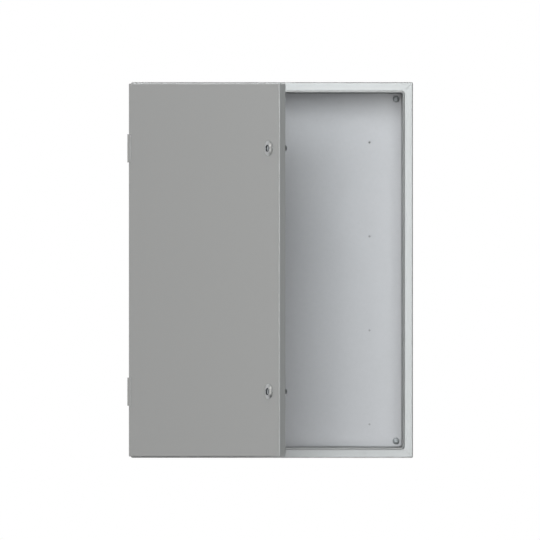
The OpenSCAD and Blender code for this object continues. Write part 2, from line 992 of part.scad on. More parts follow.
// The upper and lower hinges and locks are alike
module upper_hinge_bracket() hinge_bracket(hinge_z);
module lower_hinge_bracket() hinge_bracket(-hinge_z);
module upper_hinge_pin() hinge_pin(hinge_z);
module lower_hinge_pin() hinge_pin(-hinge_z);
module upper_bracket_screws() bracket_screws(hinge_z);
module lower_bracket_screws() bracket_screws(-hinge_z);
module upper_bracket_nuts() bracket_nuts(hinge_z);
module lower_bracket_nuts() bracket_nuts(-hinge_z);
module upper_hinge_leaf() hinge_leaf(hinge_z);
module lower_hinge_leaf() hinge_leaf(-hinge_z);
module upper_leaf_screws() leaf_screws(hinge_z);
module lower_leaf_screws() leaf_screws(-hinge_z);
module upper_lock_housing() lock_housing(lock_z);
module lower_lock_housing() lock_housing(-lock_z);
module upper_lock_seal() lock_seal(lock_z);
module lower_lock_seal() lock_seal(-lock_z);
module upper_lock_nut() lock_nut(lock_z);
module lower_lock_nut() lock_nut(-lock_z);
module upper_lock_core() lock_core(lock_z);
module lower_lock_core() lock_core(-lock_z);
module upper_lock_cam() lock_cam(lock_z);
module lower_lock_cam() lock_cam(-lock_z);
module upper_cam_screw() cam_screw(lock_z);
module lower_cam_screw() cam_screw(-lock_z);

body_wrapper();
rear_panel();
mounting_plate();
plate_studs();
plate_spacers();
plate_nuts();
gland_plate();
gland_gasket();
gland_studs();
gland_nuts();
upper_hinge_bracket();
upper_hinge_pin();
upper_bracket_screws();
upper_bracket_nuts();
lower_hinge_bracket();
lower_hinge_pin();
lower_bracket_screws();
lower_bracket_nuts();
body_earth_stud();
body_earth_washer();
body_earth_nut();
door_panel();
door_gasket();
upper_hinge_leaf();
upper_leaf_screws();
lower_hinge_leaf();
lower_leaf_screws();
upper_lock_housing();
upper_lock_seal();
upper_lock_nut();
lower_lock_housing();
lower_lock_seal();
lower_lock_nut();
door_earth_stud();
door_earth_washer();
door_earth_nut();
upper_lock_core();
upper_lock_cam();
upper_cam_screw();
lower_lock_core();
lower_lock_cam();
lower_cam_screw();
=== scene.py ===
import json
import math

import bmesh
import bpy
import numpy as np
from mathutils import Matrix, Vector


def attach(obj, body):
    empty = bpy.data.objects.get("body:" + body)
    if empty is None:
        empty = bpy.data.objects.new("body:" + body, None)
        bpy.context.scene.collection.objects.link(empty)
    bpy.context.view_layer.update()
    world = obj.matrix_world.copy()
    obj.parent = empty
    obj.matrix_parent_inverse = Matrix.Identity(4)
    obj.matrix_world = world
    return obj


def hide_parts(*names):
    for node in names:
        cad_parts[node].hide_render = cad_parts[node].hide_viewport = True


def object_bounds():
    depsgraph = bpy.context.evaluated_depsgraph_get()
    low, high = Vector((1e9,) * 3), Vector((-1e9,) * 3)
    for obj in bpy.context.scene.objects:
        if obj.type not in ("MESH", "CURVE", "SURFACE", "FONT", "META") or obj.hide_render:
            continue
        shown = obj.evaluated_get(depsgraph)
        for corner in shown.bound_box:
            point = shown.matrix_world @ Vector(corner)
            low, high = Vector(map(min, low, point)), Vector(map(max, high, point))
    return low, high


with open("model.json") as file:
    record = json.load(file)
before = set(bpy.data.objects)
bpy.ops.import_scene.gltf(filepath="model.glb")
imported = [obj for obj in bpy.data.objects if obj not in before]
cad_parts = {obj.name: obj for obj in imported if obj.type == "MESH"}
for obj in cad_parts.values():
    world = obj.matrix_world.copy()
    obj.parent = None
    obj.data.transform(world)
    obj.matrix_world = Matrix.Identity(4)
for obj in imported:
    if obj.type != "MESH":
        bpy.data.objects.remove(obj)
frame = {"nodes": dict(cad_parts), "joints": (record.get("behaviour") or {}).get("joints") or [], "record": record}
nodes = frame["nodes"]
cadLow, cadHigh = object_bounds()
scene = bpy.context.scene
scene.view_settings.view_transform = "Standard"
mm, mmPerMetre = 0.001, 1000
print("frame loaded:", len(nodes), "nodes")


# Turns an sRGB hex colour into linear red, green, blue and alpha by the standard curve.
def linearColour(text):
    shares = [int(text[i:i + 2], 16) / 255 for i in (1, 3, 5)]
    return [c / 12.92 if c <= 0.04045 else ((c + 0.055) / 1.055) ** 2.4 for c in shares] + [1]


# Adds a node with its settings and links, and joins its first output to the socket that it feeds.
def addNode(tree, kind, settings=None, links=None, feeds=None):
    made = tree.nodes.new(kind)
    for name, value in (settings or {}).items():
        if name in made.inputs:
            made.inputs[name].default_value = value
        else:
            setattr(made, name, value)
    for name, source in (links or {}).items():
        tree.links.new(source, made.inputs[name])
    if feeds is not None:
        tree.links.new(made.outputs[0], feeds)
    return made


# Empties the nodes of a material or a world, and gives it a new output.
def freshTree(owner, outputKind):
    owner.use_nodes = True
    owner.node_tree.nodes.clear()
    return owner.node_tree, addNode(owner.node_tree, outputKind)


# A material with one shader, and the object's own coordinates for its patterns.
def newMaterial(name, look):
    material = bpy.data.materials.new(name)
    tree, output = freshTree(material, "ShaderNodeOutputMaterial")
    shader = addNode(tree, "ShaderNodeBsdfPrincipled", {
        "Base Color": linearColour(look["colour"]), "Roughness": look["roughness"],
        "Metallic": look.get("metallic", 0.0)}, feeds=output.inputs["Surface"])
    return material, tree, shader, addNode(tree, "ShaderNodeTexCoord").outputs["Object"]


# Limits between which a pattern moves a roughness, a little either side of its own.
def roughRange(look):
    middle, shift = look["roughness"], look["roughShift"]
    return {"To Min": middle - shift, "To Max": middle + shift}


edgeSamples = 6  # rays that find the rounded edges
paintLook = {"colour": "#979796", "roughness": 0.25, "reflection": 1.0, "fadeStart": 0.48,
    "fadeEnd": 0.7, "peelMm": 5.0, "peelDetail": 2.0, "peelDepthMm": 0.012, "edgeMm": 0.5}


# Powder coat: baked polyester, an even light grey whose fine orange peel softens its sheen.
def powderCoat(look):
    material, tree, shader, place = newMaterial("light grey powder coat", look)
    # The coat's fine texture breaks up its reflection at a flat angle, so the sheen fades there.
    tilt = addNode(tree, "ShaderNodeLayerWeight", {"Blend": 0.5})
    addNode(tree, "ShaderNodeMapRange", {"From Min": look["fadeStart"], "From Max": look["fadeEnd"],
        "To Min": look["reflection"], "To Max": 0.0}, {"Value": tilt.outputs["Facing"]},
        shader.inputs["Specular IOR Level"])
    # Real peel is about 1.3 mm across, too fine to show, so it is drawn wider with the same slopes.
    peel = addNode(tree, "ShaderNodeTexNoise", {"Scale": mmPerMetre / look["peelMm"],
        "Detail": look["peelDetail"]}, {"Vector": place})
    # Paint draws round the edges of folded and cast pieces, so they catch a line of light.
    soft = addNode(tree, "ShaderNodeBevel", {"samples": edgeSamples, "Radius": look["edgeMm"] * mm})
    addNode(tree, "ShaderNodeBump", {"Distance": look["peelDepthMm"] * mm},
        {"Height": peel.outputs["Fac"], "Normal": soft.outputs["Normal"]}, shader.inputs["Normal"])
    return material


plateLook = {"colour": "#AEADAF", "metallic": 0.55, "roughness": 0.5, "roughShift": 0.012,
    "spangleMm": 6.0, "toneShift": 0.008}


# Galvanised sheet: hot-dipped and skin-passed, a satin metal with barely visible crystal patches.
def galvanisedSheet(look):
    material, tree, shader, place = newMaterial("galvanised steel sheet", look)
    cells = addNode(tree, "ShaderNodeTexVoronoi", {"Scale": mmPerMetre / look["spangleMm"]},
        {"Vector": place})
    patch = addNode(tree, "ShaderNodeSeparateColor", None, {"Color": cells.outputs["Color"]})
    addNode(tree, "ShaderNodeMapRange", roughRange(look), {"Value": patch.outputs["Red"]},
        shader.inputs["Roughness"])
    tone = addNode(tree, "ShaderNodeMapRange", {"To Min": 1 - look["toneShift"],
        "To Max": 1 + look["toneShift"]}, {"Value": patch.outputs["Green"]})
    addNode(tree, "ShaderNodeHueSaturation", {"Color": linearColour(look["colour"])},
        {"Value": tone.outputs["Result"]}, shader.inputs["Base Color"])
    return material


grainDetail = 3.0
lockLook = {"colour": "#ACAEAF", "metallic": 0.9, "roughness": 0.3, "roughShift": 0.05,
    "grainMm": 2.5, "edgeMm": 0.15}
coreLook = {"colour": "#A0A3A5", "metallic": 0.4, "roughness": 0.42, "roughShift": 0.06,
    "grainMm": 2.5, "edgeMm": 0.15}
camLook = {"colour": "#9EA1A3", "metallic": 1.0, "roughness": 0.42, "roughShift": 0.06,
    "grainMm": 2.5, "edgeMm": 0.15}
steelLook = {"colour": "#A6A9AB", "metallic": 0.4, "roughness": 0.42, "roughShift": 0.06,
    "grainMm": 2.5, "edgeMm": 0.15}


# Plated metal: a thin coat over a casting or a fastener, its sheen mottled by a fine grain.
def platedMetal(name, look):
    material, tree, shader, place = newMaterial(name, look)
    # Real grain is about half a millimetre, so it is drawn coarser to show.
    grain = addNode(tree, "ShaderNodeTexNoise", {"Scale": mmPerMetre / look["grainMm"],
        "Detail": grainDetail}, {"Vector": place})
    addNode(tree, "ShaderNodeMapRange", roughRange(look), {"Value": grain.outputs["Fac"]},
        shader.inputs["Roughness"])
    addNode(tree, "ShaderNodeBevel", {"samples": edgeSamples, "Radius": look["edgeMm"] * mm},
        feeds=shader.inputs["Normal"])
    return material


foamLook = {"colour": "#3B3C3D", "roughness": 0.85, "roughShift": 0.08, "cellMm": 2.5,
    "cellDepthMm": 0.2}


# Polyurethane foam: poured in place, a dull skin pitted by small burst cells.
def pouredFoam(look):
    material, tree, shader, place = newMaterial("foamed polyurethane", look)
    # Real cells are under a millimetre wide, so they are drawn larger to show.
    cells = addNode(tree, "ShaderNodeTexVoronoi", {"Scale": mmPerMetre / look["cellMm"]},
        {"Vector": place})
    addNode(tree, "ShaderNodeMapRange", roughRange(look), {"Value": cells.outputs["Distance"]},
        shader.inputs["Roughness"])
    addNode(tree, "ShaderNodeBump", {"Distance": look["cellDepthMm"] * mm},
        {"Height": cells.outputs["Distance"]}, shader.inputs["Normal"])
    return material


rubberLook = {"colour": "#242526", "roughness": 0.7, "roughShift": 0.08, "grainMm": 2.0,
    "grainDepthMm": 0.06}


# Rubber sheet: calendered and cut, dark with a dusty bloom.
def rubberSheet(look):
    material, tree, shader, place = newMaterial("neoprene sheet", look)
    # Real bloom is finer than half a millimetre, so it is drawn coarser to show.
    grain = addNode(tree, "ShaderNodeTexNoise", {"Scale": mmPerMetre / look["grainMm"],
        "Detail": grainDetail}, {"Vector": place})
    addNode(tree, "ShaderNodeMapRange", roughRange(look), {"Value": grain.outputs["Fac"]},
        shader.inputs["Roughness"])
    addNode(tree, "ShaderNodeBump", {"Distance": look["grainDepthMm"] * mm},
        {"Height": grain.outputs["Fac"]}, shader.inputs["Normal"])
    return material


finishes = {
    "grey_paint": powderCoat(paintLook),
    "galvanised_sheet": galvanisedSheet(plateLook),
    "lock_zinc": platedMetal("nickel-plated zinc", lockLook),
    "lock_core_zinc": platedMetal("dark plated zinc", coreLook),
    "plated_steel": platedMetal("zinc-plated steel", steelLook),
    "black_foam": pouredFoam(foamLook),
    "black_rubber": rubberSheet(rubberLook),
}
# The cams keep a bright plating, and the fasteners have a duller one.
camFinish = platedMetal("bright zinc-plated steel", camLook)
record = frame["record"]
slotOf = {entry["node"]: entry["material_slot"] for entry in record["subparts"]}
bodyOf = {name: body for body, names in record["behaviour"]["bodies"].items() for name in names}
for name, slot in slotOf.items():
    nodes[name].data.materials.clear()
    nodes[name].data.materials.append(camFinish if name.endswith("_cam") else finishes[slot])
print("materials made, and set on", len(slotOf), "nodes")

# Directions of the open door, from the axis of its upper lock.
lockJoints = {joint["child"]: joint for joint in frame["joints"] if joint["child"].endswith("lock")}
up = np.array([0.0, 0.0, 1.0])
inward = np.array(lockJoints["upper_lock"]["axis"], float)
inward /= np.linalg.norm(inward)
along = np.cross(up, inward)
across = np.array([1.0, 0.0, 0.0])
toFront = np.array([0.0, -1.0, 0.0])


# Lowest and highest reach of a node along a direction.
def reach(name, way):
    mesh = nodes[name].data
    points = np.empty(len(mesh.vertices) * 3, np.float32)
    mesh.vertices.foreach_get("co", points)
    shares = points.reshape(-1, 3).astype(float) @ way
    return shares.min(), shares.max()


# Mid-lines of what a node repeats along a direction: its reach less half a width at each end.
def midLines(name, way, width, count):
    low, high = reach(name, way)
    return np.linspace(low + width / 2, high - width / 2, count)


# Puts local points, whose last part runs along the axis, at a place in the frame.
def setAt(points, place, side, axis):
    other = np.cross(axis, side)
    outward = points[..., :1] * side + points[..., 1:2] * other
    return np.asarray(place) + outward + points[..., 2:] * axis


def evenAngles(count):
    return np.arange(count) * 2 * np.pi / count


# Radii and heights at even angles become a grid of points round the axis.
def turned(radii, heights, angles):
    radii, heights, angles = np.broadcast_arrays(radii, heights, angles)
    return np.stack([radii * np.cos(angles), radii * np.sin(angles), heights], -1)


# Rows of a radius and a height, each of them one number or one for every angle, become such a grid.
def turnedRows(rows, angles):
    radii = np.stack([np.broadcast_to(row[0], len(angles)) for row in rows])
    heights = np.stack([np.broadcast_to(row[1], len(angles)) for row in rows])
    return turned(radii, heights, angles)


weldM = 1e-7  # points nearer than this are one


# Joins grids into one mesh: each is closed round its columns, and its rows end in poles or close on
# themselves.
def addPiece(name, grids, node, loop, sharpDegrees=32):
    points, faces, count = [], [], 0
    for grid in grids:
        rows, columns = grid.shape[:2]
        row = np.arange(rows if loop else rows - 1)[:, None]
        column = np.arange(columns)[None, :]
        nextRow, nextColumn = (row + 1) % rows, (column + 1) % columns
        corners = np.stack([row * columns + column, row * columns + nextColumn,
            nextRow * columns + nextColumn, nextRow * columns + column], -1)
        faces.append(corners.reshape(-1, 4) + count)
        points.append(grid.reshape(-1, 3))
        count += rows * columns
    mesh = bpy.data.meshes.new(name)
    mesh.from_pydata(np.concatenate(points).tolist(), [], np.concatenate(faces).tolist())
    work = bmesh.new()
    work.from_mesh(mesh)
    bmesh.ops.remove_doubles(work, verts=work.verts, dist=weldM)
    bmesh.ops.recalc_face_normals(work, faces=work.faces)
    work.to_mesh(mesh)
    work.free()
    mesh.polygons.foreach_set("use_smooth", np.ones(len(mesh.polygons), bool))
    mesh.set_sharp_from_angle(angle=math.radians(sharpDegrees))
    piece = bpy.data.objects.new(name, mesh)
    scene.collection.objects.link(piece)
    mesh.materials.append(finishes[slotOf[node]])
    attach(piece, bodyOf[node])
    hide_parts(node)


threadShape = {"depth": 0.6134, "slope": 1.25, "flat": 0.125}
rootRows = 3  # rows of a rod below its thread


# Radius of a thread: a triangle wave along the axis that slips one pitch a turn, its crests and
# roots cut flat. The depth is a share of the pitch.
def threadRadius(heights, angles, radius, pitch):
    look = threadShape
    wave = np.abs(2 * ((heights / pitch - angles / (2 * np.pi)) % 1) - 1)
    return radius - look["depth"] * pitch * np.clip(look["slope"] * wave - look["flat"], 0, 1)


# Takes a thread down by one pitch over the last pitch of its length.
def tapered(radii, heights, length, radius, pitch):
    return np.minimum(radii, radius - pitch + np.clip(length - heights, 0, pitch))


# Rod with a plain root and a rolled thread, tapered to its tip and closed at both ends.
def threadedRod(length, plain, radius, pitch, columns=32, stepsPerPitch=8):
    angles = evenAngles(columns)
    steps = int(math.ceil((length - plain) / pitch * stepsPerPitch))
    thread = np.linspace(plain, length, steps + 1)
    heights = np.concatenate([[0.0, 0.0, plain], thread, [length]])[:, None]
    radii = threadRadius(heights, angles, radius, pitch)
    radii = tapered(radii, heights, length, radius, pitch)
    radii[1:rootRows] = radius
    radii[[0, -1]] = 0
    return turned(radii, heights, angles)


# Radius of a regular hexagon at each angle, with a corner at angle nought.
def hexRadius(angles, acrossFlats):
    return acrossFlats / 2 / np.cos(angles % (np.pi / 3) - np.pi / 6)


nutShape = {"face": 0.475, "cornerDegrees": 30, "lead": 0.06}  # face in widths, lead in bores


# A nut's hexagon, the radius of its face, the drop of a cone from that face to each point of the
# hexagon, and the radius and chamfer of its bore.
def nutSides(look, angles):
    side = hexRadius(angles, look["acrossFlats"])
    face = nutShape["face"] * look["acrossFlats"]
    cut = (side - face) * math.tan(math.radians(nutShape["cornerDegrees"]))
    bore = look["thread"] / 2 * look["clearance"]
    return side, face, cut, bore, nutShape["lead"] * bore


# Hex nut: its side meets a cone at each end, so every corner is cut to a curve, and its bore has a
# small chamfer.
def hexNut(look, columns=48):
    angles = evenAngles(columns)
    side, face, cut, bore, lead = nutSides(look, angles)
    height = look["height"]
    return turnedRows([(bore, lead), (bore + lead, 0), (face, 0), (side, cut), (side, height - cut),
        (face, height), (bore + lead, height), (bore, height - lead)], angles)


# Flange nut: the larger of a cone, which falls from the flange, and the hexagon, up to the cut
# corners.
def flangeNut(look, columns=48):
    angles = evenAngles(columns)
    side, face, cut, bore, lead = nutSides(look, angles)
    rim, rimHeight, height = look["flange"] / 2, look["flangeHeight"], look["height"]
    soft = look["soft"]
    neck = look["neck"] * look["acrossFlats"] / 2
    rows = [(bore, lead), (bore + lead, 0), (rim - soft, 0), (rim, soft), (rim, rimHeight - soft)]
    for fall in np.linspace(0, 1, look["skirtRows"]):
        cone = (rim - soft) + (neck - rim + soft) * fall
        hexagon = side * min(1, look["skirtRise"] * fall)
        rows.append((np.maximum(cone, hexagon), rimHeight + rimHeight * fall))
    rows += [(side, height - cut), (face, height), (bore + lead, height), (bore, height - lead)]
    return turnedRows(rows, angles)


socketShape = {"soft": 0.12, "taper": 0.98, "root": 0.2}


# Socket screw: from the bottom of its hexagon socket over the head and down the shank to the tip.
def socketScrew(look, length, columns=36):
    angles = evenAngles(columns)
    soft, under, deep = socketShape["soft"], look["headHeight"], look["socketDepth"]
    socket = hexRadius(angles, look["socket"])
    head, shank = look["head"] / 2, look["thread"] / 2
    rows = [(0, deep), (socket * socketShape["taper"], deep), (socket, soft), (socket + soft, 0),
        (head - soft, 0), (head, soft)]
    if not look["countersunk"]:
        rows.append((head, under))
    rows.append((shank, under))
    rod = threadedRod(length - under, socketShape["root"], shank, look["pitch"], columns)[rootRows:]
    rod[..., 2] += under
    return np.concatenate([turnedRows(rows, angles), rod])


# Fasteners in millimetres
m6Stud = {"thread": 6.0, "pitch": 1.0, "root": 1.0}
m8Stud = {"thread": 8.0, "pitch": 1.25, "root": 1.6}
m6FlangeNut = {"thread": 6.0, "clearance": 1.017, "acrossFlats": 10.0, "height": 6.0,
    "flange": 14.2, "flangeHeight": 1.2, "soft": 0.2, "neck": 0.98, "skirtRows": 6, "skirtRise": 4}
m8Nut = {"thread": 8.0, "clearance": 1.012, "acrossFlats": 13.0, "height": 6.4}
m5Nut = {"thread": 5.0, "clearance": 1.02, "acrossFlats": 8.0, "height": 4.0}
bracketScrew = {"thread": 5.0, "pitch": 0.8, "head": 10.0, "headHeight": 2.5, "countersunk": True,
    "socket": 3.0, "socketDepth": 1.9}
leafScrew = {"thread": 3.0, "pitch": 0.5, "head": 6.0, "headHeight": 2.1, "countersunk": False,
    "socket": 2.5, "socketDepth": 1.2}
camScrew = {"thread": 5.0, "pitch": 0.8, "head": 10.0, "headHeight": 3.5, "countersunk": False,
    "socket": 4.0, "socketDepth": 2.0}


# Studs at the corners of the mounting plate, plain as far as its front, with their flange nuts.
def plateStuds():
    wide = m6Stud["thread"] * mm
    back, front = reach("plate_studs", toFront)
    plateFront = reach("mounting_plate", toFront)[1]
    length, plain = (front - back) / mm, (plateFront - back) / mm
    rod = threadedRod(length, plain, m6Stud["thread"] / 2, m6Stud["pitch"]) * mm
    nut = flangeNut(m6FlangeNut) * mm
    places = [(x, z) for x in midLines("plate_studs", across, wide, 2)
        for z in midLines("plate_studs", up, wide, 2)]
    rods = [setAt(rod, (x, -back, z), across, toFront) for x, z in places]
    nuts = [setAt(nut, (x, -plateFront, z), across, toFront) for x, z in places]
    addPiece("plateStuds", rods, "plate_studs", False)
    addPiece("plateNuts", nuts, "plate_nuts", True)


# Studs round the gland plate, in two rows of three, with their flange nuts.
def glandStuds():
    wide = m6Stud["thread"] * mm
    low, high = reach("gland_studs", up)
    nutSeat = reach("gland_nuts", up)[0]
    length = (high - low) / mm
    rod = threadedRod(length, m6Stud["root"], m6Stud["thread"] / 2, m6Stud["pitch"]) * mm
    nut = flangeNut(m6FlangeNut) * mm
    places = [(x, -y) for x in midLines("gland_studs", across, wide, 3)
        for y in midLines("gland_studs", toFront, wide, 2)]
    rods = [setAt(rod, (x, y, low), across, up) for x, y in places]
    nuts = [setAt(nut, (x, y, nutSeat), across, up) for x, y in places]
    addPiece("glandStuds", rods, "gland_studs", False)
    addPiece("glandNuts", nuts, "gland_nuts", True)


# Earth stud of the body or the door, on the middle of its solid, with its nut.
def earthPoint(prefix, side, axis):
    studNode, nutNode = prefix + "_earth_stud", prefix + "_earth_nut"
    low, high = reach(studNode, axis)
    seat = reach(nutNode, axis)[0]
    other = np.cross(axis, side)
    root = side * np.mean(reach(studNode, side)) + other * np.mean(reach(studNode, other))
    length = (high - low) / mm
    rod = threadedRod(length, m8Stud["root"], m8Stud["thread"] / 2, m8Stud["pitch"]) * mm
    nut = hexNut(m8Nut) * mm
    addPiece(prefix + "EarthStud", [setAt(rod, root + axis * low, side, axis)], studNode, False)
    addPiece(prefix + "EarthNut", [setAt(nut, root + axis * seat, side, axis)], nutNode, True)


# Screws and nuts of a hinge's bracket, which run inwards, and the screws of its leaf.
def hingeScrews(level):
    screws, nuts = level + "_bracket_screws", level + "_bracket_nuts"
    low, high = reach(screws, across)
    seat = reach(nuts, across)[0]
    screw = socketScrew(bracketScrew, (high - low) / mm) * mm
    nut = hexNut(m5Nut) * mm
    y = -np.mean(reach(screws, toFront))
    heights = midLines(screws, up, bracketScrew["head"] * mm, 2)
    placed = [setAt(screw, (low, y, z), -up, across) for z in heights]
    addPiece(level + "BracketScrews", placed, screws, False)
    placed = [setAt(nut, (seat, y, z), -up, across) for z in heights]
    addPiece(level + "BracketNuts", placed, nuts, True)
    screws = level + "_leaf_screws"
    low, high = reach(screws, along)
    screw = socketScrew(leafScrew, (high - low) / mm) * mm
    root = along * high + inward * np.mean(reach(screws, inward))
    heights = midLines(screws, up, leafScrew["head"] * mm, 2)
    placed = [setAt(screw, root + up * z, up, -along) for z in heights]
    addPiece(level + "LeafScrews", placed, screws, False)


pinLook = {"chamfer": 0.5, "columns": 40}


# Hinge pin: a straight cylinder with chamfered ends.
def hingePin(level):
    name = level + "_hinge_pin"
    low, high = reach(name, up)
    left, right = reach(name, across)
    radius, cut = (right - left) / 2, pinLook["chamfer"] * mm
    length = high - low
    middle = ((left + right) / 2, -np.mean(reach(name, toFront)), low)
    pin = turnedRows([(0, 0), (radius - cut, 0), (radius, cut), (radius, length - cut),
        (radius - cut, length), (0, length)], evenAngles(pinLook["columns"]))
    addPiece(level + "HingePin", [setAt(pin, middle, across, up)], name, False)


lockShape = {"bezel": 32.0, "height": 3.6, "rim": 0.8, "crown": 19.0, "bore": 14.52, "lead": 0.3,
    "soft": 0.35, "rimIn": 0.035, "rimLift": 0.05, "rimBelow": 0.2, "foot": 0.1,
    "crownOut": 0.07, "crownDrop": 0.0525, "crownIn": 0.21,
    "sealOuter": 28.0, "sealInner": 21.4, "sealHeight": 1.0, "sleeve": 20.0, "flats": 18.0,
    "sleeveLength": 16.0, "pitch": 1.0, "threadStart": 2.0, "stepsPerPitch": 8,
    "columns": 96, "domeRows": 12, "doorSheet": 1.5}
lockNut = {"thread": 20.0, "clearance": 1.005, "acrossFlats": 27.0, "height": 5.0}
lockNutColumns = 72
leastCosine = 1e-6  # keeps the flats' radius finite


# Lock housing: an arc from rim to crown with softened edges, the groove of its seal, a threaded
# sleeve whose thread is cut by two flats, and the bore back to the front.
def lockHousing(level):
    look = lockShape
    angles = evenAngles(look["columns"])
    rim, crown, soft = look["bezel"] / 2, look["crown"] / 2, look["soft"]
    height, rimHeight, pitch = look["height"], look["rim"], look["pitch"]
    bore, sleeve, length = look["bore"] / 2, look["sleeve"] / 2, look["sleeveLength"]
    sealOuter, sealInner = look["sealOuter"] / 2, look["sealInner"] / 2
    sealTop = -look["sealHeight"]
    # The arc's centre is as far from the rim's edge as from the crown's.
    rise = height - rimHeight
    centre = (rim ** 2 - crown ** 2 + rimHeight ** 2 - height ** 2) / (2 * rise)
    bulge = math.hypot(rim, rimHeight + centre)
    swing = np.linspace(math.asin(rim / bulge), math.asin(crown / bulge), look["domeRows"])
    dome = np.stack([bulge * np.sin(swing), centre - bulge * np.cos(swing)], -1)
    dome[0] += (-look["rimIn"], -look["rimLift"])
    dome[-1] += (look["crownOut"], look["crownDrop"])
    before = [(bore, soft - height), (bore + soft, -height), (crown - look["crownIn"], -height)]
    after = [(rim, -rimHeight + look["rimBelow"]), (rim, -look["foot"]), (rim - look["foot"], 0.0),
        (sealOuter, 0.0), (sealOuter, sealTop), (sealInner, sealTop), (sealInner, 0.0)]
    profile = np.concatenate([before, dome[::-1], after])
    start = look["threadStart"]
    steps = int((length - start) / pitch * look["stepsPerPitch"])
    heights = np.concatenate([[0.0, start], np.linspace(start, length, steps)])[:, None]
    radii = threadRadius(heights, angles, sleeve, pitch)
    radii[:2] = sleeve
    radii = tapered(radii, heights, length, sleeve, pitch)
    flats = look["flats"] / 2 / np.maximum(np.abs(np.cos(angles)), leastCosine)
    thread = turned(np.minimum(radii, flats), heights, angles)
    inside = [(bore + look["lead"], length), (bore, length - look["lead"])]
    whole = np.concatenate([turnedRows(profile, angles), thread, turnedRows(inside, angles)]) * mm
    place = np.array(lockJoints[level + "_lock"]["pos_m"])
    grid = setAt(whole, place, along, inward)
    addPiece(level + "LockHousing", [grid], level + "_lock_housing", True)
    nut = hexNut(lockNut, lockNutColumns) * mm
    nut = setAt(nut, place + inward * look["doorSheet"] * mm, along, inward)
    addPiece(level + "LockNut", [nut], level + "_lock_nut", True)


# Screw that holds a cam on its core, from the inside of the door.
def camScrewOf(level):
    name = level + "_cam_screw"
    low, high = reach(name, inward)
    screw = socketScrew(camScrew, (high - low) / mm) * mm
    root = inward * high + along * np.mean(reach(name, along)) + up * np.mean(reach(name, up))
    addPiece(level + "CamScrew", [setAt(screw, root, along, -inward)], name, False)


gasketLook = {"cornerMm": 9.75, "beadMm": 12.0, "sidePower": 0.7, "risePower": 0.62,
    "waveMm": 0.12, "waveLengthMm": 75.0, "quickWaves": 3, "quickStart": 2.7,
    "lapMm": 16.0, "lapRiseMm": 0.25, "lapPlace": 0.4,
    "cornerSteps": 13, "sideSteps": 90, "profileSteps": 17, "sharpDegrees": 60}


# Foam bead: half a superellipse carried round a rectangle with round corners. Its height swells in
# long slow waves, and rises a little where the end of the pour laps over its start.
def foamBead():
    look = gasketLook
    left, right = reach("door_gasket", along)
    floor, crest = reach("door_gasket", inward)
    low, high = reach("door_gasket", up)
    half = look["beadMm"] * mm / 2
    wide, tall = (right - left) / 2 - half, (high - low) / 2 - half
    corner = look["cornerMm"] * mm
    arc = np.linspace(0, np.pi / 2, look["cornerSteps"])
    straight = np.linspace(0, 1, look["sideSteps"])[1:-1, None]
    corners = [(1, -1, -np.pi / 2), (1, 1, 0.0), (-1, 1, np.pi / 2), (-1, -1, np.pi)]
    spots, turns = [], []
    for sideways, upwards, start in corners:
        middle = np.array([sideways * (wide - corner), upwards * (tall - corner)])
        turn = start + arc
        spots.append(middle + corner * np.stack([np.cos(turn), np.sin(turn)], -1))
        turns.append(turn)
    path, facing = [], []
    for spot, turn, following in zip(spots, turns, spots[1:] + spots[:1]):
        path += [spot, spot[-1] + (following[0] - spot[-1]) * straight]
        facing += [turn, np.full(len(straight), turn[-1])]
    path, facing = np.concatenate(path), np.concatenate(facing)
    step = np.linalg.norm(np.diff(path, axis=0, append=path[:1]), axis=1)
    run = np.concatenate([[0], np.cumsum(step)[:-1]])
    whole = step.sum()
    waves = 2 * np.pi * round(whole / (look["waveLengthMm"] * mm)) / whole
    lap = np.exp(-((run - look["lapPlace"] * whole) / (look["lapMm"] * mm)) ** 2)
    # Two waves, one quicker than the other, lower the crest by nought to one wave height.
    slow = np.sin(waves * run)
    quick = np.sin(look["quickStart"] + look["quickWaves"] * waves * run)
    dip = look["waveMm"] * mm * (0.5 + 0.25 * slow + 0.25 * quick)
    top = (crest - floor) - look["lapRiseMm"] * mm * (1 - lap) - dip
    bend = np.linspace(0, np.pi, look["profileSteps"])
    sideways = np.sign(np.cos(bend)) * np.abs(np.cos(bend)) ** look["sidePower"] * half
    lift = np.sin(bend) ** look["risePower"]
    outwards = np.stack([np.cos(facing), np.sin(facing)], -1)
    flat = path[:, None] + outwards[:, None] * sideways[None, :, None]
    level = floor + top[:, None] * lift[None, :]
    grid = flat[..., :1] * along + flat[..., 1:] * up + level[..., None] * inward
    grid += along * (left + right) / 2 + up * (low + high) / 2
    addPiece("foamBead", [np.swapaxes(grid, 0, 1)], "door_gasket", True, look["sharpDegrees"])


plateStuds()
glandStuds()
earthPoint("body", across, up)
earthPoint("door", along, inward)
for level in ("upper", "lower"):
    hingeScrews(level)
    hingePin(level)
    lockHousing(level)
    camScrewOf(level)
foamBead()

studioLook = {"white": "#FFFFFF", "frontShare": 0.0, "ambient": 0.02, "fadeFrom": -0.05,
    "fadeTo": 0.3}


